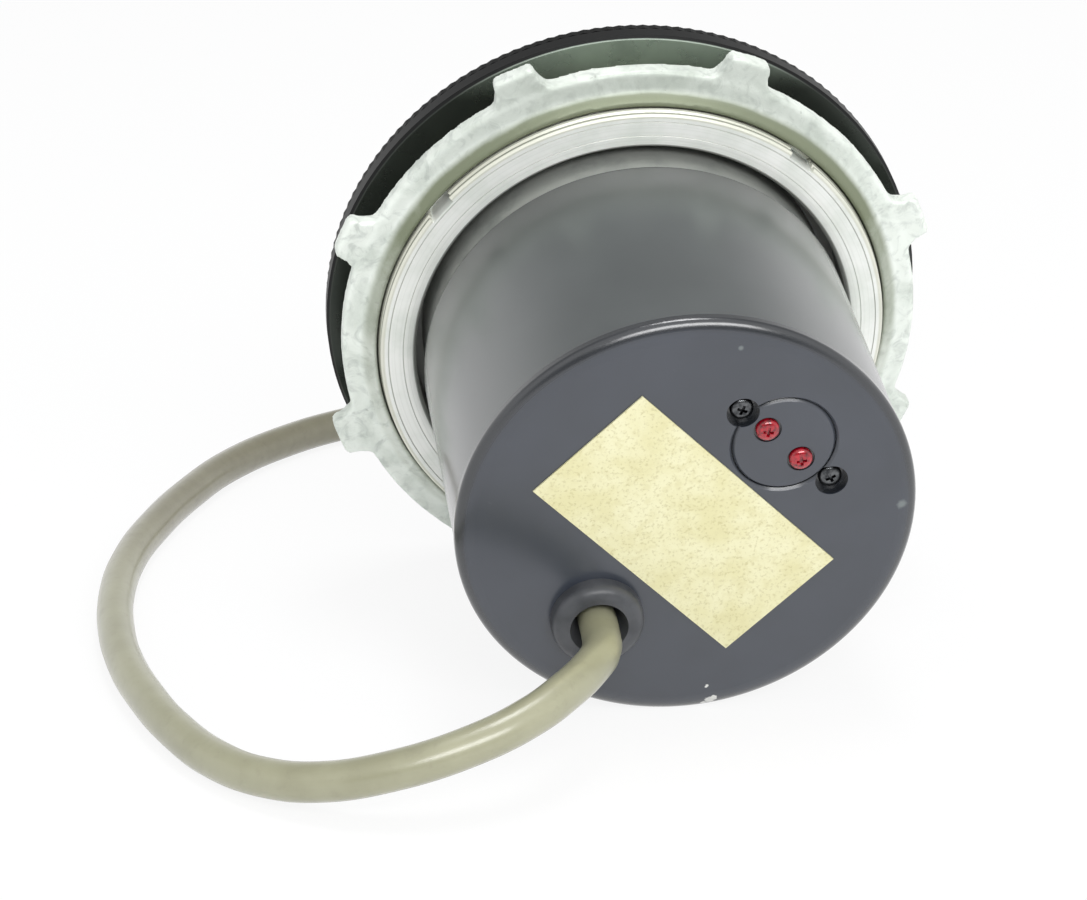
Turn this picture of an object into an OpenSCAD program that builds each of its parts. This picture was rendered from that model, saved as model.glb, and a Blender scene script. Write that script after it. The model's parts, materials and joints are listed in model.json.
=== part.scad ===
// Panel-mounted pulse generator with a dial handwheel, lying on its side.
// Each piece is drawn about the shaft axis: the panel seat is z = 0, the rear is +z, the wheel -z.
// on_axis() then lays it down as it rests, on the rear cover's rim and two lugs of the lock nut.

/* [Rear body] */
// Depth from the panel seat to the rear face
body_depth = 70.5; // [66:0.5:80]
// Outside diameter of the painted can
can_d = 75.4; // [75:0.1:76]
// Wall of the painted can
can_wall = 1.9; // [1.2:0.1:2.2]
// Outside diameter of the rear cover
cover_d = 76; // [75.8:0.1:77]
// Thickness of the rear cover at its rim
cover_t = 2.8; // [2.6:0.1:4]
// Radius of the cover's rounded edge
cover_edge = 1.8; // [0.8:0.1:2.2]
// How far the rounded edge reaches in over the rear face
cover_edge_in = 3.2; // [2:0.1:4]

/* [Panel mounting] */
// Diameter of the front flange
flange_d = 106.4; // [104:0.2:108]
// Thickness of the front flange
flange_t = 3.4; // [3:0.1:4.5]
// Thread diameter of the collar, also the panel cut-out
thread_d = 90; // [89:0.5:91]
// Length of the threaded collar behind the panel seat
collar_len = 12.9; // [11:0.1:16]
// Bore of the collar
collar_bore_d = 77; // [76.4:0.1:80]
// Gap between the panel seat and the lock nut
panel_gap = 6.1; // [3:0.1:7]
// Diameter of the lock nut without its lugs
nut_d = 102.6; // [98:0.2:104]
// Thickness of the lock nut's rim
nut_t = 3.6; // [3:0.1:4.5]
// Diameter across the lugs
lug_d = 111.2; // [108:0.2:113]
// Width of a lug at its root
lug_w = 9.4; // [7:0.1:11]
// Number of lugs
lug_count = 8; // [8]

/* [Cover fittings] */
// Diameter of the adjusting disc
disc_d = 16.9; // [15:0.1:18]
// Distance of the adjusting disc from the axis
disc_offset = 20.9; // [19:0.1:23]
// Roll of the cover about the axis
cover_roll = 45; // [0:1:90]
// Length of the data plate
plate_l = 47; // [40:0.5:50]
// Width of the data plate
plate_w = 24; // [20:0.5:26]
// Distance of the cable grommet from the axis
grommet_offset = 22.6; // [20:0.1:24]

/* [Handwheel] */
// Diameter of the handwheel over its milled edge
wheel_d = 106; // [100:0.2:108]
// Depth of the handwheel's rim
rim_t = 8.4; // [6:0.1:10]
// Number of milled grooves round the edge
mill_count = 160; // [60:10:180]
// Radius at which the crank knob turns
crank_r = 35; // [30:0.5:37]
// Largest diameter of the crank knob
knob_d = 18; // [14:0.5:20]
// Length of the crank knob
knob_l = 27; // [20:0.5:30]

/* [Mechanism] */
// Shaft diameter
shaft_d = 8; // [8]
// Detents and code slots in one turn
step_count = 100; // [50:10:100]
// Diameter of the code disc
code_d = 42; // [38:0.5:44]

/* [Cable] */
// Diameter of the cable
cable_d = 6.5; // [6:0.1:7]

/* [Hidden] */
$fn = 96;
eps = 0.01;
black = [0.10, 0.10, 0.11];
slate = [0.30, 0.31, 0.34];
zinc = [0.82, 0.82, 0.80];
bright = [0.80, 0.80, 0.74];
steel = [0.66, 0.67, 0.69];
brass = [0.78, 0.64, 0.32];
rubber = [0.16, 0.16, 0.17];
olive = [0.53, 0.51, 0.43];
board_green = [0.10, 0.34, 0.20];

// Radii and heights along the axis
can_r = can_d / 2;
can_in_r = can_r - can_wall;
cover_r = cover_d / 2;
cover_z = body_depth - cover_t;
flange_r = flange_d / 2;
thread_r = thread_d / 2;
collar_bore_r = collar_bore_d / 2;
spigot_panel_r = thread_r - 0.6;
web_t = 3.5;
neck_r = 36.6;
can_z = 17.5;
spigot_r = can_in_r - 0.05;
nut_z = panel_gap + nut_t;
nut_r = nut_d / 2;
nut_boss = 1.6;
nut_edge = 0.8;
lug_r = lug_d / 2;
lug_tip_w = lug_w - 1.8;
lug_corner = 1.2;
lug_low = 0.2;
lug_shift = [0, 2.8, 1.2, 0, -1.6, 0, 0, 0];
notch_w = 5.2;
notch_deep = 1.2;
notch_long = 5;
notch_roll = 51;
screw_ring_r = 30;

// Bearings of the 608 size
shaft_r = shaft_d / 2;
bearing_r = 11;
bearing_w = 7;
ball_r = 1.75;
ball_ring_r = 7.5;
groove_r = ball_r + 0.1;
ball_count = 7;
front_bearing_z = 5;
rear_bearing_z = 24;
lip_r = 9.5;
boss_r = 15;
boss_z = 33;
clip_t = 1;

// Detent and encoder
detent_z = 33.6;
detent_t = 3.2;
detent_r = 14;
tooth_h = 0.5;
plunger_r = 2.5;
plunger_z = detent_z + detent_t / 2;
plunger_gap = 0.3;
plunger_l = 9.5;
plug_in = 30.4;
block_out = 32.4;
code_z = 40;
code_t = 0.8;
code_r = code_d / 2;
slot_in = 16.6;
slot_out = 19.4;
code_hub_r = 6.5;
shaft_rear = 44.6;
board_z = 47;
board_t = 1.6;
board_r = 33;
pillar_r = 2.6;
pillar_ring_r = 28.5;

// Wheel
wheel_r = wheel_d / 2;
wheel_z = -flange_t - 0.4;
land_t = 1.3;
bevel_r = 45.2;
dish_z = wheel_z - 4.6;
web_rear_z = wheel_z - 1.6;
hub_r = 13;
hub_front = -15;
rim_front = wheel_z - rim_t;
knob_z = -11.6;
knob_r = knob_d / 2;
knob_end_r = 7.2;
spindle_r = 3;
spindle_end = knob_z - knob_l;

// Places of the cover's fittings, across the axis
function polar(r, a) = [r * cos(a), r * sin(a)];
disc_at = polar(disc_offset, 44.5);
clamp_spread = 10.3;
clamp_shift = 0.8;
clamp_turn = 3.3;
clamp_deep = 1.9;
clamp_pocket_r = 2.7;
groove_edge = 0.4;
seal_spread = 4.1;
grommet_at = polar(grommet_offset, 230.5);
grommet_mouth_r = 4.6;
grommet_r = 7.7;
grommet_h = 3.4;
cable_r = cable_d / 2;
cable_start = body_depth - 2;

// Resting tilt: the floor touches the cover's rounded rim and the rear corners of two lugs
lug_step = 360 / lug_count;
lug_turn = lug_step / 2;
lug_floor_r = (lug_r - lug_corner) * cos(lug_turn) + (lug_tip_w / 2 - lug_corner) * sin(lug_turn) + lug_corner;
rest_run = body_depth - cover_edge - (nut_z - lug_low - nut_edge);
rest_rise = lug_floor_r - nut_edge - (cover_r - cover_edge);
rest_reach = norm([rest_run, rest_rise]);
tilt = atan(rest_rise / rest_run) + asin((nut_edge - cover_edge) / rest_reach);
seat_h = (body_depth - cover_edge) * sin(tilt) + (cover_r - cover_edge) * cos(tilt) + cover_edge;
rear_reach = (body_depth - cover_edge) * cos(tilt) + (cover_r - cover_edge) * sin(tilt) + cover_edge;
front_reach = (crank_r + knob_end_r) * sin(tilt) - spindle_end * cos(tilt);
seat_y = (rear_reach - front_reach) / 2;

// A point drawn about the axis, in its resting place
function laid(p) = [
    p.x,
    seat_y - p.y * sin(tilt) - p.z * cos(tilt),
    seat_h + p.y * cos(tilt) - p.z * sin(tilt)
];
axis_rear = [0, -cos(tilt), -sin(tilt)];

// Cable route on the floor, by hand; it starts in the grommet and ends at the coil
cable_exit = laid([grommet_at.x, grommet_at.y, cable_start]);
route = concat(
    [for (s = [0, 6.5]) cable_exit + s * axis_rear],
    [[-15.1, -60, 18], [-17.9, -65.8, 17.4], [-22.6, -71.6, 16.3], [-28.1, -76.3, 14.8],
     [-38, -80.6, 12.2], [-52, -81, 8.5], [-62.3, -77.1, 5.7], [-70.5, -70.8, 4.1], [-77.7, -61.6, 3.4],
     [-84, -48.4, 3.3], [-88.3, -34.6, 3.3], [-91.4, -20.3, 3.3], [-92.9, -4, 3.3], [-92.6, 12, 3.3],
     [-90, 29.8, 3.3], [-84.8, 47, 3.3], [-77.9, 63.4, 3.3], [-69, 79, 3.3], [-57, 92.1, 3.3],
     [-45.5, 100.4, 3.3], [-31, 106.8, 3.3], [-15, 110.2, 3.3], [4, 111.2, 3.4], [20, 111, 3.6]]);
coil_at = [22, 153.3];
coil_in_r = 26;
coil_out_r = 45.6;
coil_h = 13.1;
tail = [[54, 147.1, 9.8], [56.7, 160.8, 9.8], [59.3, 174.6, 9.7], [60.8, 182.4, 8.6], [61.8, 187.3, 8],
    [62.9, 193.2, 8]];
plug_l = 34;
plug_r = 6.4;
plug_ring_r = 8;

// Lays a piece drawn about the shaft axis in its resting place
module on_axis() {
    translate([0, seat_y, seat_h])
        rotate([90 + tilt, 0, 0])
            children();
}

// Tube between two heights
module tube(r_in, r_out, z0, z1) {
    translate([0, 0, z0])
        difference() {
            cylinder(h = z1 - z0, r = r_out);
            translate([0, 0, -1])
                cylinder(h = z1 - z0 + 2, r = r_in);
        }
}

// Turns a profile of [radius, height] points about the axis
module turned(points) {
    rotate_extrude()
        polygon(points);
}

// Repeats a piece around the axis
module around(count, start = 0) {
    for (i = [0:count - 1])
        rotate([0, 0, start + i * 360 / count])
            children();
}

// Cross recess cut into a screw head whose top is at z = 0
module cross_recess(size, deep) {
    for (turn = [0, 90])
        rotate([0, 0, turn])
            translate([-size / 2, -size / 8, -deep])
                cube([size, size / 4, deep + 1]);
}

// Round plate with a rounded rear edge, from z = 0 up to its height
module rounded_plate(r, h, edge) {
    rotate_extrude() {
        square([r - edge, h]);
        square([r, h - edge]);
        translate([r - edge, h - edge])
            intersection() {
                circle(r = edge, $fn = 48);
                square(edge);
            }
    }
}

// Closed tube swept along points by hand, with a flat end at each end of the route
function unit(v) = v / norm(v);
function heading(p, i) = unit(p[min(i + 1, len(p) - 1)] - p[max(i - 1, 0)]);
function ring_points(p, i, r, sides) = let (
    along = heading(p, i),
    side = unit(cross([0, 0, 1], along)),
    over = cross(along, side)
) [for (k = [0:sides - 1]) p[i] + r * cos(360 * k / sides) * side + r * sin(360 * k / sides) * over];
module swept(p, r, sides) {
    n = len(p);
    body = [for (i = [0:n - 1]) each ring_points(p, i, r, sides)];
    walls = [for (i = [0:n - 2], k = [0:sides - 1]) [
        (i + 1) * sides + k,
        (i + 1) * sides + (k + 1) % sides,
        i * sides + (k + 1) % sides,
        i * sides + k
    ]];
    start = [for (k = [0:sides - 1]) k];
    finish = [for (k = [0:sides - 1]) n * sides - 1 - k];
    polyhedron(points = body, faces = concat(walls, [start], [finish]), convexity = 10);
}

// Black flange that sits against the front of the panel
module front_flange() {
    color(black)
        on_axis()
            difference() {
                turned([[shaft_r + 1, -flange_t], [flange_r - 0.3, -flange_t], [flange_r, -flange_t + 0.3],
                    [flange_r, -0.6], [flange_r - 0.6, 0], [shaft_r + 1, 0]]);
                around(4, 45)
                    translate([screw_ring_r, 0, -flange_t - eps]) {
                        cylinder(h = flange_t + 1, r = 2.2);
                        cylinder(h = 2.1, r1 = 4.1, r2 = 2.2);
                    }
            }
}

// Bright collar with the panel thread, a front web and four spanner notches
module threaded_collar() {
    color(bright)
        on_axis()
            difference() {
                turned([[boss_r + 0.1, 0], [spigot_panel_r, 0], [spigot_panel_r, panel_gap - 0.9],
                    [thread_r, panel_gap - 0.3], [thread_r, collar_len - 0.9], [thread_r - 0.9, collar_len],
                    [collar_bore_r + 0.8, collar_len], [collar_bore_r, collar_len - 0.8],
                    [collar_bore_r, web_t], [boss_r + 0.1, web_t]]);
                around(4, notch_roll)
                    translate([thread_r - notch_deep, -notch_w / 2, collar_len - notch_long])
                        cube([notch_deep + 2, notch_w, notch_long + 2]);
                around(4, 45)
                    translate([screw_ring_r, 0, -1])
                        cylinder(h = web_t + 2, r = 2.2);
            }
}

// Outline of one lug, pointing along +x, with round outer corners and filleted roots
module lug_outline() {
    tip_x = lug_r - lug_corner;
    tip_y = lug_tip_w / 2 - lug_corner;
    root_x = nut_r - 2;
    fillet = 1.6;
    polygon([[root_x, -lug_w / 2], [tip_x, -lug_tip_w / 2], [tip_x, lug_tip_w / 2], [root_x, lug_w / 2]]);
    translate([tip_x - 1, -tip_y])
        square([1 + lug_corner, 2 * tip_y]);
    for (side = [-1, 1])
        translate([tip_x, side * tip_y])
            circle(r = lug_corner, $fn = 32);
    difference() {
        translate([root_x, -lug_w / 2 - fillet])
            square([2 + fillet - 0.4, lug_w + 2 * fillet]);
        for (side = [-1, 1])
            translate([nut_r + fillet - 0.35, side * (lug_w / 2 + fillet - 0.25)])
                circle(r = fillet, $fn = 32);
    }
}

// Cast lock nut: thin rim with eight lugs, raised cone round the thread
module lock_nut() {
    lug_z = nut_z - lug_low;
    color(zinc)
        on_axis()
            difference() {
                union() {
                    rotate_extrude() {
                        translate([thread_r - 2, panel_gap])
                            square([nut_r - nut_edge - thread_r + 2, nut_t]);
                        translate([thread_r - 2, panel_gap])
                            square([nut_r - thread_r + 2, nut_t - nut_edge]);
                        translate([nut_r - nut_edge, nut_z - nut_edge])
                            circle(r = nut_edge, $fn = 32);
                        polygon([[thread_r - 2, nut_z - 1], [nut_r - 3.4, nut_z - 1], [nut_r - 3.4, nut_z],
                            [thread_r + 1.1, nut_z + nut_boss], [thread_r - 2, nut_z + nut_boss]]);
                    }
                    intersection() {
                        for (i = [0:lug_count - 1])
                            rotate([0, 0, lug_turn + i * lug_step + lug_shift[i % 8]])
                                translate([0, 0, panel_gap])
                                    linear_extrude(height = lug_z - panel_gap)
                                        lug_outline();
                        rotate_extrude() {
                            translate([nut_r - 3, panel_gap])
                                square([lug_r - nut_edge - nut_r + 3, lug_z - panel_gap]);
                            translate([nut_r - 3, panel_gap])
                                square([lug_r - nut_r + 3, lug_z - panel_gap - nut_edge]);
                            translate([lug_r - nut_edge, lug_z - nut_edge])
                                circle(r = nut_edge, $fn = 32);
                        }
                    }
                }
                translate([0, 0, panel_gap - 1])
                    cylinder(h = nut_t + nut_boss + 2, r = thread_r + 0.06);
                translate([0, 0, nut_z + nut_boss - 0.6])
                    cylinder(h = 0.7, r1 = thread_r, r2 = thread_r + 0.7);
            }
}

// Bearing housing: bare metal neck, web with screw bosses, and the bearing boss
module bearing_housing() {
    rim_in_r = 33.6;
    color(steel)
        on_axis()
            difference() {
                union() {
                    turned([[boss_r - 1, web_t], [neck_r, web_t], [neck_r, can_z], [spigot_r, can_z],
                        [spigot_r, 25], [rim_in_r, 25], [rim_in_r, web_t + 3.5], [boss_r - 1, web_t + 3.5]]);
                    tube(lip_r, boss_r, web_t, boss_z);
                    around(4, 45)
                        translate([screw_ring_r, 0, web_t])
                            cylinder(h = 11, r = 4);
                    around(4, 22)
                        translate([boss_r - 1, -1, web_t + 1])
                            cube([rim_in_r - boss_r + 1.5, 2, 10]);
                }
                translate([0, 0, web_t - 1])
                    cylinder(h = front_bearing_z + bearing_w - web_t + 1, r = bearing_r);
                translate([0, 0, rear_bearing_z])
                    cylinder(h = 20, r = bearing_r);
                tube(bearing_r - 1, bearing_r + 0.6, rear_bearing_z + bearing_w, rear_bearing_z + bearing_w + clip_t);
                around(4, 45)
                    translate([screw_ring_r, 0, web_t - 1])
                        cylinder(h = 9, r = 1.65);
            }
}

// Painted can over the mechanism
module body_can() {
    edge = 1;
    color(slate)
        on_axis()
            difference() {
                translate([0, 0, can_z])
                    rotate_extrude() {
                        translate([can_in_r, 0])
                            square([can_wall - edge, cover_z - can_z]);
                        translate([can_in_r, edge])
                            square([can_wall, cover_z - can_z - edge]);
                        translate([can_r - edge, edge])
                            circle(r = edge, $fn = 32);
                    }
                translate([0, 0, can_z - 1])
                    cylinder(h = body_depth, r = can_in_r);
            }
}

// Puts a piece at the adjusting disc, turned with the row of its screws
module at_disc() {
    translate([disc_at.x, disc_at.y, 0])
        rotate([0, 0, cover_roll - 90])
            children();
}

// Puts a piece at each of the two clamp screws
module at_clamps() {
    at_disc()
        rotate([0, 0, clamp_turn])
            for (side = [-1, 1])
                translate([clamp_shift + side * clamp_spread, 0, 0])
                    children();
}

// Rear cover with a rounded edge, spigot, disc pocket, screw pockets and grommet hole
module rear_cover() {
    pad_t = 3;
    color(slate)
        on_axis()
            difference() {
                union() {
                    translate([0, 0, cover_z])
                        rotate_extrude() {
                            square([cover_r - cover_edge_in, cover_t]);
                            square([cover_r, cover_t - cover_edge]);
                            translate([cover_r - cover_edge_in, cover_t - cover_edge])
                                intersection() {
                                    scale([cover_edge_in, cover_edge])
                                        circle(r = 1, $fn = 64);
                                    square([cover_edge_in, cover_edge]);
                                }
                        }
                    tube(spigot_r - 2.6, spigot_r, cover_z - 5.5, cover_z);
                    translate([disc_at.x, disc_at.y, cover_z - pad_t])
                        cylinder(h = pad_t, r = disc_d / 2 + 3);
                    at_clamps()
                        translate([0, 0, cover_z - pad_t])
                            cylinder(h = pad_t, r = 3.4);
                }
                translate([0, 0, cover_z - 4])
                    tube(spigot_r - 0.9, spigot_r + 1, 0, 1.8);
                translate([disc_at.x, disc_at.y, body_depth - 2.4])
                    cylinder(h = 5, r = disc_d / 2 + 0.1);
                translate([disc_at.x, disc_at.y, body_depth - groove_edge])
                    cylinder(h = groove_edge + 0.1, r1 = disc_d / 2 + 0.1, r2 = disc_d / 2 + 0.2 + groove_edge);
                translate([disc_at.x, disc_at.y, cover_z - 5])
                    cylinder(h = 10, r = disc_d / 2 - 2);
                at_clamps() {
                    translate([0, 0, body_depth - clamp_deep])
                        cylinder(h = 5, r = clamp_pocket_r);
                    translate([0, 0, cover_z - 5])
                        cylinder(h = 10, r = 1.1);
                }
                translate([grommet_at.x, grommet_at.y, cover_z - 10])
                    cylinder(h = 20, r = 5.7);
            }
}

// Adjusting disc let flush into the cover, notched for the clamp screws
module adjusting_disc() {
    disc_r = disc_d / 2;
    color(slate)
        on_axis()
            difference() {
                translate([disc_at.x, disc_at.y, body_depth - 2.4]) {
                    cylinder(h = 2.35 - groove_edge, r = disc_r);
                    translate([0, 0, 2.35 - groove_edge])
                        cylinder(h = groove_edge, r1 = disc_r, r2 = disc_r - groove_edge);
                }
                at_clamps()
                    translate([0, 0, body_depth - clamp_deep])
                        cylinder(h = 5, r = clamp_pocket_r);
                at_disc()
                    for (side = [-1, 1])
                        translate([side * seal_spread, 0, 0]) {
                            translate([0, 0, body_depth - 5])
                                cylinder(h = 10, r = 1.25);
                            translate([0, 0, body_depth - 0.6])
                                cylinder(h = 2, r = 2.3);
                        }
            }
}

// Two black pan-head screws that clamp the adjusting disc by its rim
module disc_clamp_screws() {
    head_h = 1.1;
    color(black)
        on_axis()
            at_clamps()
                translate([0, 0, body_depth - clamp_deep])
                    difference() {
                        union() {
                            rounded_plate(1.95, head_h, 0.6);
                            translate([0, 0, -4])
                                cylinder(h = 4.2, r = 1.1);
                        }
                        translate([0, 0, head_h])
                            cross_recess(2.2, 0.8);
                    }
}

// Two small screws in the disc, sealed with red lacquer
module sealed_screws() {
    color([0.75, 0.12, 0.16])
        on_axis()
            at_disc()
                for (side = [-1, 1])
                    translate([side * seal_spread, 0, body_depth - 0.6])
                        difference() {
                            union() {
                                rounded_plate(1.95, 1.2, 0.7);
                                translate([0, 0, -3])
                                    cylinder(h = 3.2, r = 1.2);
                            }
                            translate([0, 0, 1.2])
                                cross_recess(1.8, 0.6);
                        }
}

// Bare data plate laid slantwise across the middle of the cover
module data_plate() {
    color([0.90, 0.87, 0.68])
        on_axis()
            translate([-0.5, 0, body_depth])
                rotate([0, 0, cover_roll - 90])
                    translate([-plate_l / 2, -plate_w / 2, 0])
                        cube([plate_l, plate_w, 0.3]);
}

// Rubber grommet: domed outer bead with a funnel mouth, neck and inner bead
module cable_grommet() {
    color(rubber)
        on_axis()
            translate([grommet_at.x, grommet_at.y, 0])
                difference() {
                    rotate_extrude() {
                        translate([cable_r, cover_z - 2.6])
                            square([2.45, cover_t + 2.8]);
                        translate([cable_r, cover_z - 2.6])
                            square([grommet_r - cable_r - 0.6, 2.6]);
                        translate([grommet_r - 1.9, body_depth + grommet_h - 1.9])
                            intersection() {
                                circle(r = 1.9, $fn = 48);
                                square(1.9);
                            }
                        translate([cable_r + 1, body_depth])
                            square([grommet_r - cable_r - 1, grommet_h - 1.9]);
                        translate([cable_r, body_depth])
                            square([grommet_r - cable_r - 1.9, grommet_h]);
                    }
                    translate([0, 0, body_depth - 1.2])
                        cylinder(h = grommet_h + 2, r1 = cable_r + 0.1, r2 = grommet_mouth_r + 0.5);
                    translate([0, 0, cable_start])
                        cylinder(h = 5, r = cable_r + 0.1);
                }
}

// Countersunk screws that hold the flange, collar and bearing housing together
module flange_screws() {
    color(black)
        on_axis()
            around(4, 45)
                translate([screw_ring_r, 0, -flange_t])
                    difference() {
                        union() {
                            translate([0, 0, 0.1])
                                cylinder(h = 2, r1 = 4, r2 = 2);
                            cylinder(h = 14, r = 1.65);
                        }
                        translate([0, 0, -1])
                            rotate([180, 0, 0])
                                translate([0, 0, -1])
                                    cross_recess(4, 1.4);
                    }
}

// Steel shaft from the wheel hub to the code disc
module main_shaft() {
    color(steel)
        on_axis()
            translate([0, 0, hub_front + 2])
                cylinder(h = shaft_rear - hub_front - 2, r = shaft_r);
}

// One race: a tube with a round ball groove
module race(r_in, r_out) {
    rotate_extrude()
        difference() {
            translate([r_in, 0])
                square([r_out - r_in, bearing_w]);
            translate([ball_ring_r, bearing_w / 2])
                circle(r = groove_r);
        }
}

// Outer races of both bearings
module outer_races() {
    color(steel)
        on_axis()
            for (z = [front_bearing_z, rear_bearing_z])
                translate([0, 0, z])
                    race(9.1, bearing_r);
}

// Inner races of both bearings, which turn with the shaft
module inner_races() {
    color(steel)
        on_axis()
            for (z = [front_bearing_z, rear_bearing_z])
                translate([0, 0, z])
                    race(shaft_r, 5.9);
}

// Balls of both bearings
module bearing_balls() {
    color(steel)
        on_axis()
            for (z = [front_bearing_z, rear_bearing_z])
                around(ball_count)
                    translate([ball_ring_r, 0, z + bearing_w / 2])
                        sphere(r = ball_r, $fn = 32);
}

// Tube on the shaft that keeps the inner races apart
module bearing_spacer() {
    color(steel)
        on_axis()
            tube(shaft_r, 5.6, front_bearing_z + bearing_w, rear_bearing_z);
}

// Clip that keeps the rear bearing in its seat, with an open gap
module retaining_rings() {
    color(steel)
        on_axis()
            translate([0, 0, rear_bearing_z + bearing_w])
                difference() {
                    tube(9.6, bearing_r + 0.5, 0, clip_t);
                    translate([0, -1.5, -1])
                        cube([20, 3, 4]);
                }
}

// Lip seal in front of the front bearing
module shaft_seal() {
    color(rubber)
        on_axis()
            turned([[shaft_r + 0.08, web_t + 0.1], [bearing_r, web_t + 0.1], [bearing_r, front_bearing_z],
                [9.4, front_bearing_z], [shaft_r + 0.08, front_bearing_z - 0.6]]);
}

// Sealing ring in the groove of the cover's spigot
module cover_seal() {
    color(rubber)
        on_axis()
            translate([0, 0, cover_z - 3.1])
                rotate_extrude()
                    translate([spigot_r - 0.1, 0])
                        difference() {
                            circle(r = 0.8, $fn = 24);
                            translate([0.15, -2])
                                square([2, 4]);
                        }
}

// Detent wheel with one tooth for each step of the dial
module detent_wheel() {
    teeth = [for (i = [0:2 * step_count - 1])
        polar(detent_r - (i % 2) * tooth_h, i * 180 / step_count)];
    color(steel)
        on_axis()
            translate([0, 0, detent_z])
                difference() {
                    linear_extrude(height = detent_t)
                        polygon(teeth);
                    translate([0, 0, -1])
                        cylinder(h = detent_t + 2, r = shaft_r);
                }
}

// Block on the housing web that guides the detent plunger
module detent_block() {
    block_w = 9;
    color(brass)
        on_axis()
            difference() {
                translate([-block_out, -block_w / 2, web_t + 3.5])
                    cube([block_out - 17, block_w, plunger_z + 3.3 - web_t - 3.5]);
                translate([-block_out - 1, 0, plunger_z])
                    rotate([0, 90, 0])
                        cylinder(h = block_out - 15, r = plunger_r + 0.05);
                translate([-24, -block_w / 2 - 1, 12])
                    cube([8, block_w + 2, plunger_z - 17]);
            }
}

// Plunger whose rounded nose rides over the detent teeth
module detent_plunger() {
    nose = 1.4;
    color(steel)
        on_axis()
            translate([-detent_r - plunger_gap, 0, plunger_z])
                rotate([0, -90, 0])
                    difference() {
                        rotate_extrude() {
                            translate([0, nose])
                                square([nose, 2]);
                            translate([0, 2.4])
                                square([plunger_r, plunger_l - 2.4]);
                            intersection() {
                                translate([0, nose])
                                    circle(r = nose, $fn = 32);
                                square([nose, nose]);
                            }
                        }
                        translate([0, 0, plunger_l - 4])
                            cylinder(h = 5, r = 1.9);
                    }
}

// Detent spring: round wire wound as a helix inside the plunger's tail
module detent_spring() {
    wire_r = 0.3;
    wind_r = 1.4;
    turns = 7;
    steps = 14;
    spring_l = plug_in - detent_r - plunger_gap - plunger_l + 3.3;
    wind = [for (i = [0:turns * steps]) [
        wind_r * cos(360 * i / steps),
        wind_r * sin(360 * i / steps),
        wire_r + (spring_l - 2 * wire_r) * i / (turns * steps)
    ]];
    color(steel)
        on_axis()
            translate([-plug_in, 0, plunger_z])
                rotate([0, 90, 0])
                    swept(wind, wire_r, 6);
}

// Screw plug that loads the detent spring
module spring_plug() {
    color(brass)
        on_axis()
            translate([-plug_in, 0, plunger_z])
                rotate([0, -90, 0])
                    difference() {
                        cylinder(h = block_out - plug_in - 0.2, r = plunger_r);
                        translate([-3, -0.4, 1])
                            cube([6, 0.8, 3]);
                    }
}

// Slotted code disc of the encoder
module code_disc() {
    color(steel)
        on_axis()
            translate([0, 0, code_z])
                linear_extrude(height = code_t)
                    difference() {
                        circle(r = code_r);
                        circle(r = 4.6);
                        for (i = [0:step_count - 1])
                            rotate(i * 360 / step_count)
                                translate([slot_in, -0.28])
                                    square([slot_out - slot_in, 0.56]);
                    }
}

// Hub that clamps the code disc to the shaft
module code_hub() {
    color(brass)
        on_axis()
            difference() {
                turned([[shaft_r, detent_z + detent_t + 0.2], [code_hub_r, detent_z + detent_t + 0.2],
                    [code_hub_r, code_z], [4.6, code_z], [4.6, code_z + code_t], [code_hub_r, code_z + code_t],
                    [code_hub_r, code_z + code_t + 3], [shaft_r, code_z + code_t + 3]]);
                translate([0, 0, detent_z + detent_t + 1.7])
                    rotate([0, 90, 0])
                        cylinder(h = 10, r = 1);
            }
}

// Grub screw of the code disc's hub
module hub_grub_screw() {
    color(black)
        on_axis()
            translate([shaft_r, 0, detent_z + detent_t + 1.7])
                rotate([0, 90, 0])
                    difference() {
                        cylinder(h = code_hub_r - shaft_r - 0.3, r = 1);
                        translate([0, 0, 1.2])
                            cylinder(h = 3, r = 0.5, $fn = 6);
                    }
}

// Light gates that straddle the edge of the code disc
module light_gates() {
    gate_w = 6.4;
    color(black)
        on_axis()
            for (turn = [30, 64])
                rotate([0, 0, turn])
                    difference() {
                        translate([15.6, -gate_w / 2, code_z - 3.4])
                            cube([9.4, gate_w, board_z - code_z + 3.4]);
                        translate([10, -gate_w, code_z - 1])
                            cube([code_r - 10 + 1, 2 * gate_w, code_t + 2]);
                    }
}

// Round circuit board
module circuit_board() {
    color(board_green)
        on_axis()
            difference() {
                translate([0, 0, board_z])
                    cylinder(h = board_t, r = board_r);
                translate([0, 0, board_z - 1])
                    cylinder(h = 5, r = 5);
                around(3, 90)
                    translate([pillar_ring_r, 0, board_z - 1])
                        cylinder(h = 5, r = 1.6);
            }
}

// Parts on the circuit board: two chips, three capacitors and a row of resistors
module board_parts() {
    top = board_z + board_t;
    color(black)
        on_axis() {
            for (x = [-9, 4])
                translate([x, -7, top])
                    cube([7, 10, 3]);
            for (x = [14, 20, 26])
                translate([x, -4, top])
                    cylinder(h = 7, r = 2.4);
            for (i = [0:3])
                translate([2 + 3.4 * i, -19, top])
                    cube([2, 5.6, 2]);
        }
}

// Pillars that carry the circuit board
module board_pillars() {
    color(brass)
        on_axis()
            around(3, 90)
                translate([pillar_ring_r, 0, web_t + 3.5])
                    difference() {
                        cylinder(h = board_z - web_t - 3.5, r = pillar_r, $fn = 6);
                        translate([0, 0, board_z - web_t - 3.5 - 8])
                            cylinder(h = 9, r = 1.25);
                    }
}

// Screws of the circuit board
module board_screws() {
    color(steel)
        on_axis()
            around(3, 90)
                translate([pillar_ring_r, 0, board_z + board_t])
                    difference() {
                        union() {
                            rounded_plate(2.6, 1.8, 0.6);
                            translate([0, 0, -7])
                                cylinder(h = 7.2, r = 1.25);
                        }
                        translate([0, 0, 1.8])
                            cross_recess(2.8, 1);
                    }
}

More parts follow.
